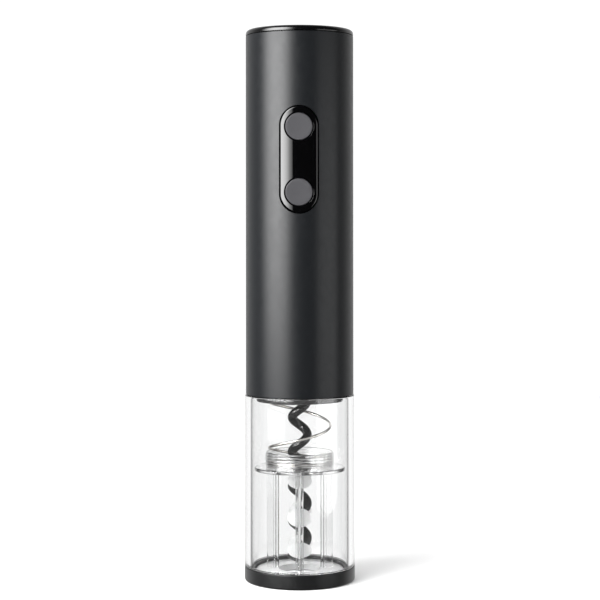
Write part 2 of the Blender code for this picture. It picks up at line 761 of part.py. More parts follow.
def build_gearbox_screws():
    for index, (x, y) in enumerate(around(3, LONG_SCREW_R, TAU / 6)):
        head_bottom = MOTOR_PLATE_Z[1] + GAP
        head_top = head_bottom + SCREW_HEAD
        profile = [
            (0.0, head_top), (SCREW_HEAD_R, head_top), (SCREW_HEAD_R, head_bottom), (SCREW_R, head_bottom),
            (SCREW_R, LONG_SCREW_TIP + SCREW_POINT), (0.0, LONG_SCREW_TIP),
        ]
        screw = turned(f"gearbox_screw_{index + 1}", profile, "steel", 12)
        screw.location = (x, y, 0.0)


# ---- Motor ----

def motor_screw_places():
    return ((0.0, MOTOR_SCREW_R), (0.0, -MOTOR_SCREW_R))


def build_motor_plate():
    outlines = [circle(GEARBOX_R, sides=MEDIUM_SIDES), circle(CAN_EYE_R, sides=12)]
    for centre in (*around(3, LONG_SCREW_R, TAU / 6), *motor_screw_places()):
        outlines.append(circle(SCREW_HOLE_R, centre, sides=12))
    extruded("motor_plate", outlines, MOTOR_PLATE_Z, "steel")


def build_motor_screws():
    head_top = MOTOR_PLATE_Z[0] - GAP
    head_bottom = head_top - MOTOR_SCREW_HEAD
    for index, (x, y) in enumerate(motor_screw_places()):
        profile = [
            (0.0, MOTOR_SCREW_END), (SCREW_R, MOTOR_SCREW_END - SCREW_POINT), (SCREW_R, head_top),
            (MOTOR_SCREW_HEAD_R, head_top), (MOTOR_SCREW_HEAD_R, head_bottom), (0.0, head_bottom),
        ]
        screw = turned(f"motor_screw_{index + 1}", profile, "steel", 12)
        screw.location = (x, y, 0.0)


def build_motor_can():
    bottom, top = CAN_Z
    inner = CAN_R - CAN_WALL
    face_top = bottom + CAN_FACE
    profile = [
        (CAN_R, top), (CAN_R, bottom), (CAN_EYE_R, bottom), (CAN_EYE_R, face_top), (inner, face_top),
        (inner, top),
    ]
    can = turned("motor_can", profile, "steel", MEDIUM_SIDES)
    for index, centre in enumerate(motor_screw_places()):
        combine(can, "DIFFERENCE", screw_hole(f"can_hole_{index}", CAN_HOLE_CUT, centre))


def build_end_bell():
    """The motor's rear plug, with its two brush holders."""
    top = CAN_Z[1]
    plug_r = CAN_R - CAN_WALL - GAP
    bore_top = SHAFT_Z[1] + BELL_BORE_END
    profile = [
        (0.0, BELL_TOP), (CAN_R, BELL_TOP), (CAN_R, top + GAP), (plug_r, top + GAP), (plug_r, BELL_FOOT),
        (SHAFT_BORE_R, BELL_FOOT), (SHAFT_BORE_R, bore_top), (0.0, bore_top),
    ]
    bell = turned("motor_end_bell", profile, "inner_black", MEDIUM_SIDES)
    half = BRUSH_WIDTH / 2
    for index, side in enumerate((-1, 1)):
        near, far = sorted(side * reach for reach in BRUSH_REACH)
        brush = box(f"brush_{index}", (-half, near, BRUSH_Z[0]), (half, far, BRUSH_Z[1]))
        combine(bell, "UNION", brush)


def arc(radius, start, end, steps):
    angles = [start + (end - start) * i / steps for i in range(steps + 1)]
    return [(radius * math.cos(a), radius * math.sin(a)) for a in angles]


def build_magnets():
    half_span = math.radians(MAGNET_HALF_SPAN)
    outer_r = CAN_R - CAN_WALL - GAP
    inner_r = CORE_R + AIR_GAP
    z_span = (CORE_Z[0] - MAGNET_REACH, CORE_Z[1] + MAGNET_REACH)
    for name, centre in (("magnet_right", 0.0), ("magnet_left", math.pi)):
        outer = arc(outer_r, centre - half_span, centre + half_span, 10)
        inner = arc(inner_r, centre + half_span, centre - half_span, 10)
        extruded(name, [outer + inner], z_span, "ferrite")


def pole_outline(poles):
    """A core of poles, each with a wide shoe on a narrow arm."""
    outline = []
    for pole in range(poles):
        centre = TAU * pole / poles
        right_side = ((0.0085, 0.46), (0.0078, 0.18), (0.0040, 0.36), (0.0040, 0.90))
        left_side = ((0.0078, 1.076), (0.0085, 0.797))
        outline += arc(CORE_R, centre - 0.50, centre + 0.50, 4)
        for radius, offset in right_side + left_side:
            outline.append((radius * math.cos(centre + offset), radius * math.sin(centre + offset)))
    return outline


def build_armature():
    """Five-pole core, commutator, shaft and the pinion, which is the first sun."""
    bore = circle(SHAFT_BORE_R, sides=12)
    extruded("armature_core", [pole_outline(5), bore], CORE_Z, "core_steel")
    extruded("commutator", [circle(COMMUTATOR_R, sides=20), bore], COMMUTATOR_Z, "copper")
    cylinder("motor_shaft", SHAFT_R, SHAFT_Z, "steel", sides=12)
    extruded("motor_pinion", [outer_gear(SUN_TEETH), bore], (STAGE1_Z[0], PINION_TOP), "brass")


def smooth_route(corners, samples=3):
    """Points on a Catmull-Rom curve through the corners."""
    corners = [Vector(corner) for corner in corners]
    padded = [2 * corners[0] - corners[1], *corners, 2 * corners[-1] - corners[-2]]
    points = []
    for a, b, c, d in zip(padded, padded[1:], padded[2:], padded[3:]):
        for i in range(samples):
            t = i / samples
            points.append(((2 * b) + (c - a) * t + (2 * a - 5 * b + 4 * c - d) * t ** 2
                           + (3 * b - a - 3 * c + d) * t ** 3) / 2)
    points.append(corners[-1])
    return points


def build_leads():
    for name, side in (("lead_red", 1), ("lead_black", -1)):
        corners = [
            (side * 0.0070, 0.0030, 0.1622), (side * 0.0070, 0.0025, 0.1670),
            (side * 0.0060, -0.0040, 0.1725), (side * 0.0045, -0.0100, 0.1765),
            (side * 0.0040, -0.0147, 0.1775),
        ]
        wire(name, smooth_route(corners), LEAD_R, name)


# ---- Cells, contacts, tray, chassis and cap ----

def clipped_disc(radius, front_y, steps=24):
    start = math.asin(front_y / radius)
    return arc(radius, start, math.pi - start, steps)


def cell_places():
    front, rear = CELL_ROW_Y - CELL_OFFSET, CELL_ROW_Y + CELL_OFFSET
    return ((-CELL_OFFSET, front), (CELL_OFFSET, front), (CELL_OFFSET, rear), (-CELL_OFFSET, rear))


def build_tray():
    outlines = [clipped_disc(TRAY_R, TRAY_FRONT_Y)]
    for centre in cell_places():
        outlines.append(circle(CELL_BORE_R, centre, sides=16))
    extruded("battery_tray", outlines, TRAY_Z, "inner_black")


def build_cells():
    """Alternate cells stand with their nub up and down, wired in series."""
    for index, (x, y) in enumerate(cell_places()):
        nub_up = index % 2 == 0
        body = CELL_LENGTH - NUB_HEIGHT
        profile = [
            (0.0, CELL_LENGTH), (NUB_R, CELL_LENGTH), (NUB_R, body), (CELL_R - CELL_EDGE, body),
            (CELL_R, body - CELL_EDGE), (CELL_R, 0.0), (0.0, 0.0),
        ]
        if not nub_up:
            profile = [(radius, CELL_LENGTH - height) for radius, height in reversed(profile)]
        cell = turned(f"cell_{index + 1}", profile, "cell_green", 16)
        cell.location = (x, y, CELL_BOTTOM)


def bar(name, start, end, z_span, half_width=0.0030):
    """A flat contact strip from one cell's centre to another's."""
    low = (min(start[0], end[0]) - half_width, min(start[1], end[1]) - half_width, z_span[0])
    high = (max(start[0], end[0]) + half_width, max(start[1], end[1]) + half_width, z_span[1])
    box(name, low, high, "steel")


def build_contacts():
    cells = cell_places()
    low_bottom = CHASSIS_Z[1] + GAP
    low_strip = (low_bottom, low_bottom + LOW_STRIP)
    top_bottom = CELL_BOTTOM + CELL_LENGTH + GAP
    top_strip = (top_bottom, top_bottom + TOP_STRIP)
    bar("outlet_contact_minus", cells[0], cells[0], low_strip)
    bar("bridge_contact", cells[1], cells[2], low_strip)
    bar("outlet_contact_plus", cells[3], cells[3], low_strip)
    bar("cap_contact_front", cells[0], cells[1], top_strip)
    bar("cap_contact_rear", cells[2], cells[3], top_strip)
    for name, (x, y) in (("contact_spring_1", cells[0]), ("contact_spring_2", cells[2])):
        build_contact_spring(name, x, y, low_strip[1] + GAP)


def build_contact_spring(name, x, y, bottom):
    turns, steps, wire_r = 2.25, 8, CONTACT_WIRE_R
    rise = CELL_BOTTOM - GAP - bottom - 2 * wire_r
    count = round(turns * steps)
    points = []
    for i in range(count + 1):
        angle = TAU * i / steps
        radius = CONTACT_COIL_R[0] + (CONTACT_COIL_R[1] - CONTACT_COIL_R[0]) * i / count
        height = bottom + wire_r + rise * i / count
        points.append((x + radius * math.cos(angle), y + radius * math.sin(angle), height))
    wire(name, points, wire_r, "steel")


def build_chassis():
    """A sleeve round the drive whose closed top is the battery floor."""
    bottom, top = CHASSIS_Z
    under_floor = top - CHASSIS_FLOOR
    profile = [
        (0.0, top), (CHASSIS_R, top), (CHASSIS_R, bottom), (CHASSIS_BORE_R, bottom),
        (CHASSIS_BORE_R, under_floor), (0.0, under_floor),
    ]
    chassis = turned("chassis", profile, "inner_black")
    window = box("chassis_cutter", CHASSIS_WINDOW, (-CHASSIS_WINDOW[0], TRAY_FRONT_Y, top + GAP))
    combine(chassis, "DIFFERENCE", window)


def build_cap():
    """Top cap on a hollow plug, with a seal and the plate that holds contacts."""
    foot = TUBE_TOP + GAP
    profile = [
        (0.0, HEIGHT), (BODY_R - CAP_EDGE, HEIGHT), (BODY_R - 0.3 * CAP_EDGE, HEIGHT - 0.3 * CAP_EDGE),
        (BODY_R, HEIGHT - CAP_EDGE), (BODY_R, foot), (PLUG_R, foot), (PLUG_R, SEAL_GROOVE[1]),
        (SEAL_GROOVE_R, SEAL_GROOVE[1]), (SEAL_GROOVE_R, SEAL_GROOVE[0]), (PLUG_R, SEAL_GROOVE[0]),
        (PLUG_R, PLUG_BOTTOM), (PLUG_BORE_R, PLUG_BOTTOM), (PLUG_BORE_R, CAP_ROOF), (0.0, CAP_ROOF),
    ]
    turned("top_cap", profile, "gloss_black")
    centre_z = sum(SEAL_GROOVE) / 2
    ring = [(SEAL_R + x, centre_z + z) for x, z in reversed(circle(SEAL_SECTION_R, sides=6))]
    turned("cap_seal", ring, "rubber")
    radius, (bottom, top) = CONTACT_PLATE_R, CONTACT_PLATE_Z
    plate = [(0.0, top), (radius, top), (radius, bottom), (0.0, bottom)]
    turned("contact_plate", plate, "inner_black", MEDIUM_SIDES)


def build_all():
    build_body_tube()
    build_button_panel()
    build_control_board()
    for side in BUTTON_ZS:
        build_button(side)
        build_switch(side)
    build_base_ring()
    build_clear_housing()
    build_drive_plate()
    build_guide_cage()
    build_guide_foot()
    build_grip_strip("grip_strip_front", 0.0)
    build_grip_strip("grip_strip_rear", math.pi)
    build_return_spring()
    build_worm()
    build_ring_gear()
    build_planets(1, STAGE1_Z, "nylon")
    build_planets(2, STAGE2_Z, "steel")
    build_first_carrier()
    build_output_carrier()
    build_gearbox_screws()
    build_motor_plate()
    build_motor_screws()
    build_motor_can()
    build_end_bell()
    build_magnets()
    build_armature()
    build_leads()
    build_tray()
    build_cells()
    build_contacts()
    build_chassis()
    build_cap()


build_all()
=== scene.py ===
import json
import math

import bmesh
import bpy
from mathutils import Matrix, Vector


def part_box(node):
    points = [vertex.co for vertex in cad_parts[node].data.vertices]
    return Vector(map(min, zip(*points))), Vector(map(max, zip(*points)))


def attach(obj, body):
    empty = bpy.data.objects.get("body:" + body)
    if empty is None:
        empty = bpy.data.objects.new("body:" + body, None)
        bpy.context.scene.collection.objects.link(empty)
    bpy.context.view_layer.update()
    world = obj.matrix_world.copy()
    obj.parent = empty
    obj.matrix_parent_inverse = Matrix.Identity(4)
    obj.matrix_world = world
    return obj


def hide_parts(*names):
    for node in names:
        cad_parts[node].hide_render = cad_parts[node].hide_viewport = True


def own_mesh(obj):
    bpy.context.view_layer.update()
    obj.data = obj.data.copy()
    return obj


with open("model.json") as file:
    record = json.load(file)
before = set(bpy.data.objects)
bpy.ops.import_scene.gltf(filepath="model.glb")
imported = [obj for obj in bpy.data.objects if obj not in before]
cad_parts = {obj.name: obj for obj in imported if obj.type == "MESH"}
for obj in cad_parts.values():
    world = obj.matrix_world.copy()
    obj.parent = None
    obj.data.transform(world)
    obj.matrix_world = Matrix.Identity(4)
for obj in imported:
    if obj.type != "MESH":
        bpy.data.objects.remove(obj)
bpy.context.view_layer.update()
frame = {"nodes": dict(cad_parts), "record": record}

TAU = 2 * math.pi
QUARTER_TURN = TAU / 4
FINE = 192                       # facets round a large turned piece
ARC_STEP = math.radians(15)      # the coarsest step along a rounded edge

# Where the CAD pieces stand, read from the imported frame
TUBE_LOW, TUBE_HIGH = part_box("body_tube")
CLEAR_LOW, CLEAR_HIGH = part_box("clear_housing")
PANEL_LOW, PANEL_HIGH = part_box("button_panel")
CAP_LOW, CAP_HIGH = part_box("top_cap")
PLATE_LOW, PLATE_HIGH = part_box("drive_plate")
CAGE_LOW, CAGE_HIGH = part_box("guide_cage")
FOOT_LOW, FOOT_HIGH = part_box("guide_foot")
RING_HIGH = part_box("base_ring")[1]
WORM_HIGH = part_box("worm")[1]

BODY_R = TUBE_HIGH.x
TUBE_BORE_R = 0.0235
TUBE_BOTTOM, TUBE_TOP = TUBE_LOW.z, TUBE_HIGH.z

PANEL_WIDTH, PANEL_HEIGHT = 0.0177, 0.0487
PANEL_CENTRE_Z = (PANEL_LOW.z + PANEL_HIGH.z) / 2
PANEL_R = 0.0249                 # from the axis to the panel's face
WINDOW_MARGIN = 0.0002           # how much larger the tube's window is than the panel
BUTTON_ZS = {side: sum(corner.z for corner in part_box("button_" + side)) / 2 for side in ("up", "down")}

# Each bead on a grip strip: the height of its middle, and half its own height
GRIP_BEADS = ((0.0153, 0.0036), (0.0302, 0.0043), (0.0471, 0.0036))
BEAD_HALF_WIDTH, BEAD_DEPTH = 0.0055, 0.0014

BACK_LEVEL = 1.08                # brightness of the white backdrop
MIX_A, MIX_B, MIX_RESULT = 6, 7, 2    # the colour sockets of a Mix node


# ---- Node helpers ----

def new_material(name):
    """A material with a plain Principled shader, its node tree and that shader."""
    material = bpy.data.materials.new(name)
    material.use_nodes = True
    tree = material.node_tree
    return material, tree, tree.nodes["Principled BSDF"]


def set_inputs(shader, **values):
    """Set sockets by name, with an underscore for each space."""
    for name, value in values.items():
        shader.inputs[name.replace("_", " ")].default_value = value


def noise(tree, scale, detail=3.0):
    """Noise in the piece's own coordinates; scale is in cycles a metre."""
    place = tree.nodes.new("ShaderNodeTexCoord")
    texture = tree.nodes.new("ShaderNodeTexNoise")
    set_inputs(texture, Scale=scale, Detail=detail, Roughness=0.55)
    tree.links.new(place.outputs["Object"], texture.inputs["Vector"])
    return texture.outputs["Fac"]


def ramp(tree, factor, stops):
    """Colours along a factor; each stop is a position and a colour."""
    node = tree.nodes.new("ShaderNodeValToRGB")
    elements = node.color_ramp.elements
    while len(elements) < len(stops):
        elements.new(0.5)
    for element, (position, colour) in zip(elements, stops):
        element.position = position
        element.color = (*colour, 1.0)
    tree.links.new(factor, node.inputs["Fac"])
    return node.outputs["Color"]


def spread(tree, factor, low, high):
    """Stretch a noise factor to run from low to high."""
    node = tree.nodes.new("ShaderNodeMapRange")
    set_inputs(node, From_Min=0.3, From_Max=0.7, To_Min=low, To_Max=high)
    tree.links.new(factor, node.inputs["Value"])
    return node.outputs["Result"]


def bump(tree, shader, factor, height):
    """Relief of a height in metres."""
    node = tree.nodes.new("ShaderNodeBump")
    set_inputs(node, Strength=1.0, Distance=height)
    tree.links.new(factor, node.inputs["Height"])
    tree.links.new(node.outputs["Normal"], shader.inputs["Normal"])


def grey(value):
    return (value, value, value)


def shaded(colour, factor):
    return tuple(channel * factor for channel in colour)


# ---- Materials ----

def surface(name, colour, roughness, metallic=0.0, mottle=0.15, grain=900, relief=0.000004, **values):
    """A finish whose colour, roughness and relief vary a little over the piece."""
    material, tree, shader = new_material(name)
    set_inputs(shader, Metallic=metallic, **values)
    coarse = noise(tree, grain / 8)
    fine = noise(tree, grain, detail=5.0)
    stops = [(0.35, shaded(colour, 1 - mottle)), (0.65, shaded(colour, 1 + mottle))]
    tree.links.new(ramp(tree, fine, stops), shader.inputs["Base Color"])
    tree.links.new(spread(tree, coarse, roughness * 0.9, roughness * 1.1), shader.inputs["Roughness"])
    bump(tree, shader, fine, relief)
    return material


def clear_plastic(name, ior=1.49, tint=1.0, gloss=0.5, milk=0.0):
    """Polished clear plastic with a trace of haze; milk is how much of it is white body."""
    material, tree, shader = new_material(name)
    set_inputs(shader, IOR=ior, Transmission_Weight=1.0 - milk, Specular_IOR_Level=gloss)
    stops = [(0.3, shaded((0.985, 0.99, 0.99), tint)), (0.7, grey(tint))]
    tree.links.new(ramp(tree, noise(tree, 60), stops), shader.inputs["Base Color"])
    tree.links.new(spread(tree, noise(tree, 150), 0.0, 0.012), shader.inputs["Roughness"])
    return material


MATERIALS = {
    "satin_black": surface(
        "satin_black_finish", (0.0040, 0.0046, 0.0054), 0.33, grain=3000, relief=0.000006,
        Specular_IOR_Level=0.28,
    ),
    "ring_black": surface(
        "ring_black_finish", (0.0048, 0.0050, 0.0052), 0.31, grain=2600, relief=0.000005,
    ),
    "gloss_black": surface(
        "gloss_black_finish", (0.0006, 0.0006, 0.0007), 0.045, grain=700, relief=0.0000003,
    ),
    "cap_black": surface("cap_finish", (0.0010, 0.0010, 0.0011), 0.17, grain=700, relief=0.0000003),
    "button_grey": surface(
        "button_grey_finish", (0.0160, 0.0156, 0.0185), 0.55, mottle=0.3, grain=5000, relief=0.000012,
    ),
    "worm_coating": surface(
        "worm_finish", (0.0040, 0.0036, 0.0034), 0.22, grain=1500, Specular_IOR_Level=0.4,
    ),
    "steel": surface("steel_finish", (0.60, 0.58, 0.55), 0.20, metallic=1.0, mottle=0.1, grain=2200),
    "core_steel": surface("core_steel_finish", (0.30, 0.30, 0.31), 0.40, metallic=1.0, grain=3000),
    "brass": surface("brass_finish", (0.72, 0.50, 0.18), 0.28, metallic=1.0, grain=2000),
    "copper": surface("copper_finish", (0.70, 0.33, 0.18), 0.30, metallic=1.0, grain=2000),
    "nylon": surface(
        "nylon_finish", (0.74, 0.72, 0.66), 0.48, mottle=0.05, grain=1200, Subsurface_Weight=0.1,
    ),
    "inner_black": surface("inner_black_finish", (0.012, 0.012, 0.013), 0.38, grain=2500),
    "ferrite": surface(
        "ferrite_finish", (0.045, 0.045, 0.048), 0.65, mottle=0.25, grain=4000, relief=0.00002,
    ),
    "board_green": surface("board_finish", (0.012, 0.110, 0.045), 0.35, mottle=0.2),
    "cell_green": surface(
        "cell_finish", (0.030, 0.170, 0.075), 0.25, mottle=0.1, grain=600, Coat_Weight=0.5,
    ),
    "seal_rubber": surface("seal_finish", (0.015, 0.015, 0.015), 0.75, grain=4000, relief=0.00001),
    "lead_red": surface("lead_red_finish", (0.45, 0.012, 0.012), 0.45, grain=2500),
    "lead_black": surface("lead_black_finish", (0.012, 0.012, 0.012), 0.45, grain=2500),
    "frosted_silicone": surface(
        "frosted_finish", (0.93, 0.93, 0.93), 0.55, mottle=0.03, grain=1500,
        Transmission_Weight=0.30, Subsurface_Weight=0.4, Subsurface_Radius=(1.0, 1.0, 1.0),
        Subsurface_Scale=0.0008, IOR=1.41,
    ),
    "clear_plastic": clear_plastic("clear_finish", gloss=0.14),
    "guide_clear": clear_plastic("guide_finish", ior=1.60, tint=0.88),
    "milky_plastic": clear_plastic("milky_finish", milk=0.60),
}


# ---- Piece helpers ----

def placed(name, data):
    """A new object in the scene."""
    thing = bpy.data.objects.new(name, data)
    bpy.context.scene.collection.objects.link(thing)
    return thing


def solid(name, bm, flat_angle=40):
    """A smooth-shaded object from a bmesh, with sharp edges where it turns past an angle."""
    bmesh.ops.recalc_face_normals(bm, faces=bm.faces[:])
    mesh = bpy.data.meshes.new(name)
    bm.to_mesh(mesh)
    bm.free()
    shade(mesh, flat_angle)
    return placed(name, mesh)


def shade(mesh, flat_angle):
    mesh.shade_smooth()
    mesh.set_sharp_from_angle(angle=math.radians(flat_angle))


def settle(piece, look, body, *replaced, slot=None):
    """Give a piece its look's material, fix it to its body and hide the CAD pieces it replaces; the slot
    argument is not used.
    """
    piece.data.materials.clear()
    piece.data.materials.append(MATERIALS[look])
    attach(piece, body)
    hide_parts(*replaced)


def weight_normals(piece):
    """Let large faces keep their own direction where they meet a small rounded edge."""
    modifier = piece.modifiers.new("weighted_normals", "WEIGHTED_NORMAL")
    modifier.mode = "FACE_AREA"
    modifier.weight = 100
    modifier.keep_sharp = True


def boolean(piece, operation, other):
    """Apply a Boolean with another object, which is then removed."""
    modifier = piece.modifiers.new(operation.lower(), "BOOLEAN")
    modifier.operation = operation
    modifier.solver = "EXACT"
    modifier.object = other
    bpy.context.view_layer.update()
    evaluated = piece.evaluated_get(bpy.context.evaluated_depsgraph_get())
    mesh = bpy.data.meshes.new_from_object(evaluated)
    piece.modifiers.remove(modifier)
    piece.data = mesh
    bpy.data.objects.remove(other)


# ---- Meshes ----

def rounded_profile(corners):
    """Replace each corner (r, z, fillet) by an arc of its fillet radius."""
    points = []
    count = len(corners)
    for i, (r, z, fillet) in enumerate(corners):
        corner = Vector((r, z))
        if fillet <= 0:
            points.append(corner)
            continue
        before = (Vector(corners[i - 1][:2]) - corner).normalized()
        after = (Vector(corners[(i + 1) % count][:2]) - corner).normalized()
        half = before.angle(after) / 2
        reach = fillet / math.tan(half)
        centre = corner + (before + after).normalized() * (fillet / math.sin(half))
        start = corner + before * reach - centre
        end = corner + after * reach - centre
        sweep = start.angle_signed(end)
        steps = max(2, round(abs(sweep) / ARC_STEP))
        for k in range(steps + 1):
            a = -sweep * k / steps
            turned = Vector((
                start.x * math.cos(a) - start.y * math.sin(a),
                start.x * math.sin(a) + start.y * math.cos(a),
            ))
            points.append(centre + turned)
    return points


def lathe_mesh(points, segments=FINE):
    """Turn a profile about Z; it closes on itself unless it starts on the axis."""
    bm = bmesh.new()
    on_axis = 0.000001
    rings = []
    for r, z in points:
        if r < on_axis:
            rings.append([bm.verts.new((0.0, 0.0, z))])
            continue
        angles = [TAU * k / segments for k in range(segments)]
        rings.append([bm.verts.new((r * math.cos(a), r * math.sin(a), z)) for a in angles])
    pairs = list(zip(rings, rings[1:]))
    if points[0][0] > on_axis:
        pairs.append((rings[-1], rings[0]))
    for upper, lower in pairs:
        for k in range(segments):
            n = (k + 1) % segments
            if len(upper) == 1:
                bm.faces.new((upper[0], lower[k], lower[n]))
            elif len(lower) == 1:
                bm.faces.new((upper[k], lower[0], upper[n]))
            else:
                bm.faces.new((upper[k], lower[k], lower[n], upper[n]))
    return bm


def lathe(name, corners, look, body, node, slot=None):
    """A turned piece from the rounded corners of its profile."""
    piece = solid(name, lathe_mesh(rounded_profile(corners)))
    settle(piece, look, body, node, slot=slot)
    weight_normals(piece)


def sweep_mesh(points, radii, sides):
    """A round rod along points, closed by a flat face at each end."""
    bm = bmesh.new()
    points = [Vector(p) for p in points]
    normal = None
    rings = []
    for i, point in enumerate(points):
        ahead = points[min(i + 1, len(points) - 1)]
        behind = points[max(i - 1, 0)]
        tangent = (ahead - behind).normalized()
        if normal is None:
            normal = tangent.orthogonal().normalized()
        normal = (normal - tangent * normal.dot(tangent)).normalized()
        other = tangent.cross(normal)
        ring = []
        for k in range(sides):
            a = TAU * k / sides
            ring.append(bm.verts.new(point + radii[i] * (normal * math.cos(a) + other * math.sin(a))))
        rings.append(ring)
    for near, far in zip(rings, rings[1:]):
        for k in range(sides):
            n = (k + 1) % sides
            bm.faces.new((near[k], near[n], far[n], far[k]))
    bm.faces.new(rings[0])
    bm.faces.new(rings[-1])
    return bm


def rim_levels(depth, rim, steps=6):
    """The inset and height of each loop of a plate's side, from its front face to its back."""
    if rim == 0:
        return [(0.0, 0.0), (0.0, -depth)]
    arc = [QUARTER_TURN * k / steps for k in range(steps + 1)]
    return [(rim * (1 - math.sin(a)), -rim * (1 - math.cos(a))) for a in arc] + [(0.0, -depth)]


def plate_mesh(outlines, depth, rim=0.0):
    """A plate below z = 0 with a rounded front edge; each outline is a function of an inset."""
    bm = bmesh.new()
    front, back = [], []
    for outline in outlines:
        levels = rim_levels(depth, rim)
        loops = [[bm.verts.new((x, y, z)) for x, y in outline(inset)] for inset, z in levels]
        count = len(loops[0])
        for upper, lower in zip(loops, loops[1:]):
            for k in range(count):
                n = (k + 1) % count
                bm.faces.new((upper[k], lower[k], lower[n], upper[n]))
        for found, loop in ((front, loops[0]), (back, loops[-1])):
            found += [bm.edges.get((loop[k - 1], loop[k])) for k in range(count)]
    bmesh.ops.triangle_fill(bm, use_beauty=True, edges=front)
    bmesh.ops.triangle_fill(bm, use_beauty=True, edges=back)
    bmesh.ops.recalc_face_normals(bm, faces=bm.faces[:])
    return bm


# ---- Outlines ----

def arc_points(centre, radius, start, sweep, steps):
    """Points along an arc, both ends among them, counter-clockwise from an angle."""
    angles = [start + sweep * k / steps for k in range(steps + 1)]
    return [(centre[0] + radius * math.cos(a), centre[1] + radius * math.sin(a)) for a in angles]


def stadium(width, height):
    """Round-ended outline about the origin, counter-clockwise from +X."""
    radius = width / 2
    straight = height / 2 - radius
    upper = arc_points((0.0, straight), radius, 0.0, math.pi, 48)
    return upper + arc_points((0.0, -straight), radius, math.pi, math.pi, 48)


def circle(radius, centre):
    return arc_points(centre, radius, 0.0, TAU, 96)[:-1]


def ease(value):
    """A smooth step from 0 to 1."""
    value = min(max(value, 0.0), 1.0)
    return value * value * (3 - 2 * value)


# ---- Body tube ----

def window_cutter(near, far):
    """A round-ended block through the tube's front wall, from y = -far to y = -near."""
    width, height = PANEL_WIDTH + 2 * WINDOW_MARGIN, PANEL_HEIGHT + 2 * WINDOW_MARGIN
    bm = plate_mesh([lambda inset: stadium(width, height)], far - near)
    turn = Matrix.Rotation(QUARTER_TURN, 4, "X")
    place = Matrix.Translation((0.0, -far, PANEL_CENTRE_Z)) @ turn
    bmesh.ops.transform(bm, matrix=place, verts=bm.verts[:])
    return solid("window_cutter", bm)


def radial_normals(piece):
    """Give the faces that lie round the Z axis exact smooth normals."""
    mesh = piece.data
    radial = 0.9995
    normals = [Vector(corner.vector) for corner in mesh.corner_normals]
    for face in mesh.polygons:
        for index in face.loop_indices:
            across = mesh.vertices[mesh.loops[index].vertex_index].co.xy.normalized()
            towards = face.normal.xy.dot(across)
            if abs(towards) > radial:
                normals[index] = Vector((across.x, across.y, 0.0)) * math.copysign(1, towards)
    mesh.normals_split_custom_set(normals)


def build_body_tube():
    """A plain tube with a window for the control panel."""
    edge = 0.0003
    corners = [
        (BODY_R, TUBE_TOP, edge), (BODY_R, TUBE_BOTTOM, edge),
        (TUBE_BORE_R, TUBE_BOTTOM, 0.0), (TUBE_BORE_R, TUBE_TOP, 0.0),
    ]
    tube = solid("tube_shell", lathe_mesh(rounded_profile(corners), 256))
    boolean(tube, "DIFFERENCE", window_cutter(0.018, 0.027))
    shade(tube.data, 30)
    radial_normals(tube)
    settle(tube, "satin_black", "housing", "body_tube")


# ---- Control panel and buttons ----

def bend_round(bm, radius, centre_z):
    """Wrap a flat plate round the tube's front and return its exact vertex normals."""
    strip = 0.0004
    strips = int(max(v.co.x for v in bm.verts) / strip)
    for k in range(-strips, strips + 1):
        bmesh.ops.bisect_plane(
            bm, geom=bm.verts[:] + bm.edges[:] + bm.faces[:], dist=0.0000001,
            plane_co=(k * strip, 0.0, 0.0), plane_no=(1.0, 0.0, 0.0),
        )
    bm.normal_update()
    normals = []
    for vert in bm.verts:
        facing = [face.normal for face in vert.link_faces]
        flat = [normal for normal in facing if abs(normal.z) > 0.9999]
        normals.append(sum(flat or facing, Vector()).normalized())
    up = Vector((0.0, 0.0, 1.0))
    for index, vert in enumerate(bm.verts):
        x, y, z = vert.co
        angle = math.asin(x / radius)
        across = Vector((math.cos(angle), math.sin(angle), 0.0))
        outward = Vector((math.sin(angle), -math.cos(angle), 0.0))
        normal = normals[index]
        normals[index] = normal.x * across + normal.y * up + normal.z * outward
        vert.co = outward * (radius + z) + up * (centre_z + y)
    return normals


def build_panel():
    """A glossy round-ended panel with a rounded rim and a hole for each button."""
    hole_r, hole_flare, thickness, rim = 0.0065, 0.4, 0.0028, 0.0009
    outlines = [lambda inset: stadium(PANEL_WIDTH - 2 * inset, PANEL_HEIGHT - 2 * inset)]
    for height in BUTTON_ZS.values():
        centre = (0.0, height - PANEL_CENTRE_Z)
        outlines.append(lambda inset, centre=centre: circle(hole_r + inset * hole_flare, centre))
    bm = plate_mesh(outlines, thickness, rim)
    normals = bend_round(bm, PANEL_R, PANEL_CENTRE_Z)
    mesh = bpy.data.meshes.new("control_panel")
    bm.to_mesh(mesh)
    bm.free()
    mesh.shade_smooth()
    mesh.normals_split_custom_set([normals[loop.vertex_index] for loop in mesh.loops])
    settle(placed("control_panel", mesh), "gloss_black", "housing", "button_panel")


def build_buttons():
    """Each key has a faintly dished face, and a collar that holds it in behind the panel."""
    key_r, key_edge, dish_r, dish = 0.00615, 0.00035, 0.0045, 0.00012
    collar_r, collar_front, collar_back = 0.0068, 0.0198, 0.0190
    hollow_r, hollow_end = 0.0049, 0.0232
    for side, height in BUTTON_ZS.items():
        face = -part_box("button_" + side)[0].y
        corners = [
            (0.0, face - dish, 0.0), (dish_r, face - dish / 2, 0.0), (key_r, face, key_edge),
            (key_r, collar_front, 0.0), (collar_r, collar_front, 0.0), (collar_r, collar_back, 0.0),
            (hollow_r, collar_back, 0.0), (hollow_r, hollow_end, 0.0), (0.0, hollow_end, 0.0),
        ]
        bm = lathe_mesh(rounded_profile(corners), 96)
        place = Matrix.Translation((0.0, 0.0, height)) @ Matrix.Rotation(QUARTER_TURN, 4, "X")
        bmesh.ops.transform(bm, matrix=place, verts=bm.verts[:])
        button = solid("key_" + side, bm)
        settle(button, "button_grey", side + "_button", "button_" + side)
        weight_normals(button)


# ---- Cap, clear housing, base ring and drive plate ----

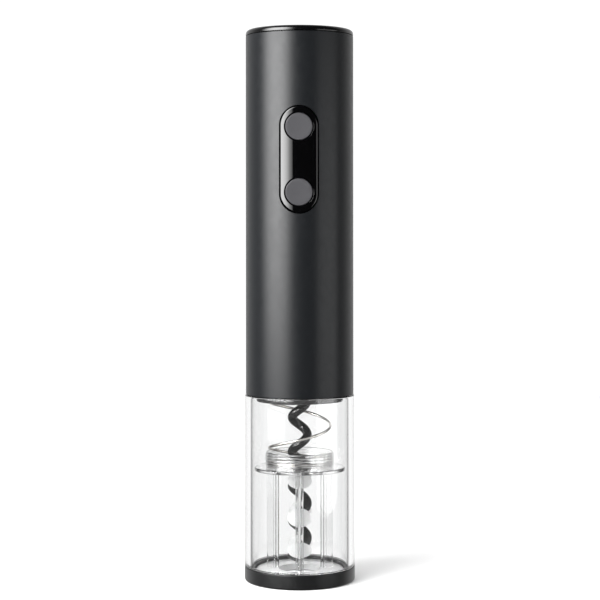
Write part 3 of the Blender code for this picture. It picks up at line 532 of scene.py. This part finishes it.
def build_cap():
    """A cap with a rounded top edge, on a hollow plug with a groove for the seal."""
    top, foot, ceiling = CAP_HIGH.z, TUBE_TOP + 0.00025, 0.2520
    plug_r, plug_bore_r, plug_foot = 0.0229, 0.0206, CAP_LOW.z
    groove_r, groove_top, groove_foot = 0.0216, 0.2507, 0.2483
    corners = [
        (0.0, top, 0.0), (BODY_R, top, 0.0017), (BODY_R, foot, 0.0002), (plug_r, foot, 0.0),
        (plug_r, groove_top, 0.0002), (groove_r, groove_top, 0.0), (groove_r, groove_foot, 0.0),
        (plug_r, groove_foot, 0.0002), (plug_r, plug_foot, 0.0004), (plug_bore_r, plug_foot, 0.0003),
        (plug_bore_r, ceiling, 0.0), (0.0, ceiling, 0.0),
    ]
    lathe("cap_shell", corners, "cap_black", "cap", "top_cap", slot="gloss_black")


def build_base_ring():
    """A ring with a lip that turns in at its foot."""
    ring_r, top, bore_r, lip_r, lip_top = RING_HIGH.x, RING_HIGH.z, 0.0208, 0.0194, 0.0022
    corners = [
        (bore_r, top, 0.0002), (ring_r, top, 0.0003), (ring_r, 0.0, 0.0010),
        (lip_r, 0.0, 0.0004), (lip_r, lip_top, 0.0002), (bore_r, lip_top, 0.0),
    ]
    lathe("foot_ring", corners, "ring_black", "housing", "base_ring", slot="satin_black")


def build_clear_housing():
    """A slightly tapered clear wall, with a collar at its top that fits inside the tube."""
    top, foot = TUBE_BOTTOM - 0.0003, CLEAR_LOW.z
    top_r, foot_r, bore_r, bore_chamfer = 0.02535, 0.02555, 0.0222, 0.0014
    collar_r, collar_bore_r, collar_top = 0.0232, 0.0212, CLEAR_HIGH.z
    corners = [
        (collar_r, collar_top, 0.0003), (collar_r, top, 0.0), (top_r, top, 0.0004),
        (foot_r, foot, 0.0003), (bore_r, foot, 0.0003), (bore_r, top - bore_chamfer, 0.0),
        (collar_bore_r, top, 0.0), (collar_bore_r, collar_top, 0.0),
    ]
    lathe("clear_wall", corners, "clear_plastic", "housing", "clear_housing")


def build_drive_plate():
    """A stepped disc with a ring-shaped groove for the spring and a well for the worm's hub."""
    bottom, top = PLATE_LOW.z, PLATE_HIGH.z
    flange_r, flange_low, disc_r = 0.0231, 0.0943, 0.0200
    groove_outer_r, groove_inner_r, groove_top = 0.0154, 0.0131, 0.0856
    well_r, well_top, hole_r = 0.0079, 0.0914, 0.0063
    edge = 0.0002
    corners = [
        (flange_r, top, 0.0), (flange_r, flange_low, 0.0), (disc_r, flange_low, 0.0),
        (disc_r, bottom, 0.0004), (groove_outer_r, bottom, edge), (groove_outer_r, groove_top, 0.0),
        (groove_inner_r, groove_top, 0.0), (groove_inner_r, bottom, edge), (well_r, bottom, edge),
        (well_r, well_top, 0.0), (hole_r, well_top, 0.0), (hole_r, top, 0.0),
    ]
    lathe("end_plate", corners, "inner_black", "housing", "drive_plate")


# ---- Neck guide ----

def rib_outline(angle):
    """A flat plate with a fin that points outward and an oval nose that points inward."""
    fin_half, fin_r, edge = 0.0008, 0.0153, 0.0006
    plate_half, plate_inner, plate_outer = 0.0018, 0.0110, 0.0123
    nose_half, nose_r, nose_steps = 0.00085, 0.00965, 28

    def corner(x, y, start):
        return arc_points((x, y), edge, start, QUARTER_TURN, 6)

    points = [(plate_outer, -fin_half)]
    points += corner(fin_r - edge, edge - fin_half, -QUARTER_TURN)
    points += corner(fin_r - edge, fin_half - edge, 0.0)
    points.append((plate_outer, fin_half))
    points += corner(plate_outer - edge, plate_half - edge, 0.0)
    points += corner(plate_inner + edge, plate_half - edge, QUARTER_TURN)
    for k in range(nose_steps + 1):
        a = math.pi * k / nose_steps
        points.append((plate_inner - (plate_inner - nose_r) * math.sin(a), nose_half * math.cos(a)))
    points += corner(plate_inner + edge, edge - plate_half, TAU / 2)
    points += corner(plate_outer - edge, edge - plate_half, -QUARTER_TURN)
    c, s = math.cos(angle), math.sin(angle)
    return [(x * c - y * s, x * s + y * c) for x, y in points]


def ridge_profile(wall_r, height, relief=0.0003, half_height=0.0004, steps=6):
    """One rounded ridge round the cup's wall, from its top to its bottom."""
    angles = [math.pi * (t / steps - 0.5) for t in range(steps + 1)]
    return [Vector((wall_r + relief * math.cos(a), height - half_height * math.sin(a))) for a in angles]


def build_cage():
    """A flange with a ridged spring cup above it and four ribs below it."""
    flange_low, flange_top, flange_r = 0.0512, 0.0528, CAGE_HIGH.x
    cup_top, cup_r, cup_bore_r, bore_r = CAGE_HIGH.z, 0.0157, 0.0151, 0.0080
    ridges, ridge_pitch, first_ridge = 4, 0.0013, cup_top - 0.0017
    rib_top = flange_low + 0.0006
    points = rounded_profile([
        (cup_bore_r, cup_top, 0.0), (cup_r, cup_top, 0.0005), (cup_r, cup_top - 0.0010, 0.0),
    ])
    for k in range(ridges):
        points += ridge_profile(cup_r, first_ridge - k * ridge_pitch)
    points += rounded_profile([
        (cup_r, flange_top, 0.0), (flange_r, flange_top, 0.0005), (flange_r, flange_low, 0.0005),
        (bore_r, flange_low, 0.0003), (bore_r, flange_top, 0.0003), (cup_bore_r, flange_top, 0.0),
    ])
    cage = solid("guide_body", lathe_mesh(points))
    for index in range(4):
        angle = TAU * index / 4
        bm = plate_mesh([lambda inset, angle=angle: rib_outline(angle)], rib_top - CAGE_LOW.z)
        bmesh.ops.translate(bm, verts=bm.verts[:], vec=(0.0, 0.0, rib_top))
        boolean(cage, "UNION", solid("rib_tool", bm))
    settle(cage, "guide_clear", "neck_guide", "guide_cage", slot="clear_plastic")
    shade(cage.data, 35)
    weight_normals(cage)


def build_foot():
    """A thick disc of slightly milky plastic that the ribs stand on."""
    low, top, foot_r = FOOT_LOW.z, FOOT_HIGH.z, FOOT_HIGH.x
    hole_r, flat_r, side_low = 0.0095, 0.0191, 0.0033
    corners = [
        (hole_r, top, 0.0003), (foot_r, top, 0.0003), (foot_r, side_low, 0.0002),
        (flat_r, low, 0.0002), (hole_r, low, 0.0003),
    ]
    lathe("guide_base", corners, "milky_plastic", "neck_guide", "guide_foot", slot="clear_plastic")


# ---- Grip strips ----

def bead_swell(height, across=0.0):
    """How much a bead swells at a point: 1 at its middle, 0 from its edge outward."""
    insides = [
        1 - (across / BEAD_HALF_WIDTH) ** 2 - ((height - middle) / half_height) ** 2
        for middle, half_height in GRIP_BEADS
    ]
    return math.sqrt(max(0.0, *insides))


def build_grips():
    """Frosted beads on a thin web down the inner edge of the front and rear ribs."""
    back_r, web, web_half_width, skin = 0.00935, 0.0003, 0.0005, 0.0001
    columns, rows = 48, 260
    for name, turn in (("front", 0.0), ("rear", math.pi)):
        node = "grip_strip_" + name
        low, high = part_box(node)
        bm = bmesh.new()
        faces, backs = [], []
        for i in range(rows + 1):
            z = low.z + (high.z - low.z) * i / rows
            width = max(web_half_width, BEAD_HALF_WIDTH * bead_swell(z))
            across = [width * math.sin(math.pi * (j / columns - 0.5)) for j in range(columns + 1)]
            depths = [max(web, BEAD_DEPTH * bead_swell(z, x)) for x in across]
            faces.append([bm.verts.new((x, -back_r + skin + d, z)) for x, d in zip(across, depths)])
            backs.append([bm.verts.new((x, -back_r, z)) for x in across])
        for grid in (faces, backs):
            for lower, upper in zip(grid, grid[1:]):
                for j in range(columns):
                    bm.faces.new((lower[j], lower[j + 1], upper[j + 1], upper[j]))
        bmesh.ops.bridge_loops(bm, edges=[edge for edge in bm.edges if edge.is_boundary])
        bmesh.ops.transform(bm, matrix=Matrix.Rotation(turn, 4, "Z"), verts=bm.verts[:])
        settle(solid("beads_" + name, bm, flat_angle=60), "frosted_silicone", "neck_guide", node)


# ---- Return spring and worm ----

def spring_height(angle):
    """The wire's height at an angle: open turns in the middle, closed turns at each end."""
    start, end = math.radians(84), math.radians(545)
    open_pitch, closed_pitch, half_turn_z = 0.0214, 0.0015, 0.0611
    start_z = half_turn_z - open_pitch * (math.pi - start) / TAU
    open_turns = (min(max(angle, start), end) - start) / TAU
    closed_turns = (angle - start) / TAU - open_turns
    return start_z + open_pitch * open_turns + closed_pitch * closed_turns


def build_spring():
    """A round-wire spring with open turns in the middle and closed turns at each end."""
    first, last, steps = math.radians(-260), math.radians(840), 400
    wire_r, mean_r, travel = 0.00065, 0.01425, 0.020
    blur = math.radians(12)      # each height is a mean over this angle to either side
    points = []
    for k in range(steps + 1):
        a = first + (last - first) * k / steps
        z = sum(spring_height(a + blur * n) for n in (-1, -0.5, 0, 0.5, 1)) / 5
        points.append((mean_r * math.cos(a), mean_r * math.sin(a), z))
    spring = solid("open_coil_spring", sweep_mesh(points, [wire_r] * len(points), 14))
    settle(spring, "steel", "housing", "return_spring")
    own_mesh(spring)


def build_worm():
    """A round-wire corkscrew that runs in to the axis at its hub and to a point at its tip."""
    wire_r, mean_r, pitch, phase_z = 0.00210, 0.00350, 0.0160, 0.0034
    tip_z, top, steps = 0.0056, WORM_HIGH.z, 420
    hub_z, hub_run = 0.0912, 0.0070
    narrow, narrow_run = 0.72, 0.0040      # the coil's radius at the tip, as a share, and how far it grows
    point, point_run = 0.06, 0.0065        # the wire's radius at the tip, as a share, and how far it grows
    points, radii = [], []
    for k in range(steps + 1):
        z = tip_z + (top - tip_z) * k / steps
        a = TAU * (z - phase_z) / pitch
        grown = narrow + (1 - narrow) * ease((z - tip_z) / narrow_run)
        r = mean_r * ease((hub_z - z) / hub_run) * grown
        points.append((r * math.cos(a), r * math.sin(a), z))
        radii.append(wire_r * (point + (1 - point) * ease((z - tip_z) / point_run)))
    worm = solid("worm_screw", sweep_mesh(points, radii, 28), flat_angle=60)
    settle(worm, "worm_coating", "output", "worm")


# ---- Finishes on the CAD pieces that stay ----

def dress_cad():
    slots = {part["node"]: part["material_slot"] for part in frame["record"]["subparts"]}
    for name, obj in frame["nodes"].items():
        if obj.hide_render:
            continue
        obj.data.materials.clear()
        obj.data.materials.append(MATERIALS[slots[name]])


# ---- Studio ----

def build_floor():
    """A pale round floor that gloss and clear plastic don't see."""
    bm = bmesh.new()
    bmesh.ops.create_circle(bm, cap_ends=True, segments=96, radius=0.9)
    mesh = bpy.data.meshes.new("floor")
    bm.to_mesh(mesh)
    bm.free()
    floor = placed("floor", mesh)
    material, tree, shader = new_material("floor_white")
    stops = [(0.3, grey(0.79)), (0.7, grey(0.81))]
    tree.links.new(ramp(tree, noise(tree, 6), stops), shader.inputs["Base Color"])
    set_inputs(shader, Roughness=0.6)
    mesh.materials.append(material)
    floor.visible_glossy = False
    floor.visible_transmission = False


def build_world():
    """White to the eye, dark in front for gloss; clear plastic also sees a dark band at each side."""
    world = bpy.data.worlds.new("studio")
    bpy.context.scene.world = world
    world.use_nodes = True
    tree = world.node_tree
    tree.nodes.clear()
    output = tree.nodes.new("ShaderNodeOutputWorld")
    background = tree.nodes.new("ShaderNodeBackground")
    set_inputs(background, Strength=BACK_LEVEL)
    tree.links.new(background.outputs["Background"], output.inputs["Surface"])

    # How far back a direction points: 0 straight to the front, 1 straight to the rear
    place = tree.nodes.new("ShaderNodeTexCoord")
    split = tree.nodes.new("ShaderNodeSeparateXYZ")
    tree.links.new(place.outputs["Generated"], split.inputs["Vector"])
    rearward = tree.nodes.new("ShaderNodeMapRange")
    set_inputs(rearward, From_Min=-1.0, From_Max=1.0)
    tree.links.new(split.outputs["Y"], rearward.inputs["Value"])
    glossy = ramp(tree, rearward.outputs["Result"], [
        (0.0, grey(0.01)), (0.45, grey(0.03)), (0.62, grey(0.31)), (0.8, grey(0.73)),
    ])
    through = ramp(tree, rearward.outputs["Result"], [
        (0.0, grey(0.70)), (0.58, grey(0.70)), (0.67, grey(0.05)), (0.83, grey(0.07)), (0.89, grey(0.95)),
    ])

    path = tree.nodes.new("ShaderNodeLightPath")
    reflected_or_clear = tree.nodes.new("ShaderNodeMix")
    reflected_or_clear.data_type = "RGBA"
    tree.links.new(path.outputs["Is Transmission Ray"], reflected_or_clear.inputs["Factor"])
    tree.links.new(glossy, reflected_or_clear.inputs[MIX_A])
    tree.links.new(through, reflected_or_clear.inputs[MIX_B])
    plain = tree.nodes.new("ShaderNodeMath")
    plain.operation = "MAXIMUM"
    plain.use_clamp = True
    tree.links.new(path.outputs["Is Camera Ray"], plain.inputs[0])
    tree.links.new(path.outputs["Diffuse Depth"], plain.inputs[1])
    seen = tree.nodes.new("ShaderNodeMix")
    seen.data_type = "RGBA"
    seen.inputs[MIX_B].default_value = (*grey(1.0), 1.0)
    tree.links.new(plain.outputs["Value"], seen.inputs["Factor"])
    tree.links.new(reflected_or_clear.outputs[MIX_RESULT], seen.inputs[MIX_A])
    tree.links.new(seen.outputs[MIX_RESULT], background.inputs["Color"])


def softbox(name, azimuth, distance, height, size, power):
    """A level softbox that faces the axis; azimuth is from the front (-Y), positive to +X."""
    light = bpy.data.lights.new(name, "AREA")
    light.shape = "RECTANGLE"
    light.size, light.size_y = size
    light.energy = power
    lamp = placed(name, light)
    a = math.radians(azimuth)
    lamp.location = (distance * math.sin(a), -distance * math.cos(a), height)
    aim = Vector((0.0, 0.0, height)) - lamp.location
    lamp.rotation_euler = aim.to_track_quat("-Z", "Y").to_euler()
    return light


def fade_across(light, stops):
    """Grade a lamp's light from its left edge to its right edge."""
    light.use_nodes = True
    tree = light.node_tree
    tree.nodes.clear()
    output = tree.nodes.new("ShaderNodeOutputLight")
    glow = tree.nodes.new("ShaderNodeEmission")
    tree.links.new(glow.outputs["Emission"], output.inputs["Surface"])
    place = tree.nodes.new("ShaderNodeNewGeometry")
    split = tree.nodes.new("ShaderNodeSeparateXYZ")
    tree.links.new(place.outputs["Parametric"], split.inputs["Vector"])
    levels = ramp(tree, split.outputs["X"], [(where, grey(level)) for where, level in stops])
    tree.links.new(levels, glow.inputs["Color"])


def build_lights():
    """A large key from the front left, strongest in its middle, and a faint fill from the right."""
    key = softbox("key_softbox", azimuth=-47, distance=0.90, height=0.535, size=(1.30, 0.95), power=69.7)
    fade_across(key, [
        (0.0, 0.12), (0.12, 0.34), (0.25, 0.76), (0.44, 1.0), (0.56, 0.95), (0.65, 0.88), (0.73, 0.70),
        (0.79, 0.50), (0.85, 0.27), (0.93, 0.12), (0.945, 0.09), (0.95, 0.0),
    ])
    softbox("right_fill", azimuth=62, distance=1.1, height=0.10, size=(0.95, 0.5), power=3.4)


def build_camera():
    """A level camera in front of the object, with its lens shifted down."""
    azimuth, roll = math.radians(0.6), math.radians(0.04)
    distance, height = 0.764, 0.164
    data = bpy.data.cameras.new("camera")
    data.sensor_width = 36.0
    data.lens = 98.5
    data.shift_x = 0.0007
    data.shift_y = -0.1227
    camera = placed("camera", data)
    camera.location = (distance * math.sin(azimuth), -distance * math.cos(azimuth), height)
    camera.rotation_euler = (QUARTER_TURN, roll, azimuth)
    bpy.context.scene.camera = camera


def build_studio():
    build_floor()
    build_world()
    build_lights()
    build_camera()
    bpy.context.scene.view_settings.view_transform = "Standard"


build_studio()
build_body_tube()
build_panel()
build_buttons()
build_cap()
build_base_ring()
build_clear_housing()
build_drive_plate()
build_cage()
build_foot()
build_grips()
build_spring()
build_worm()
dress_cad()
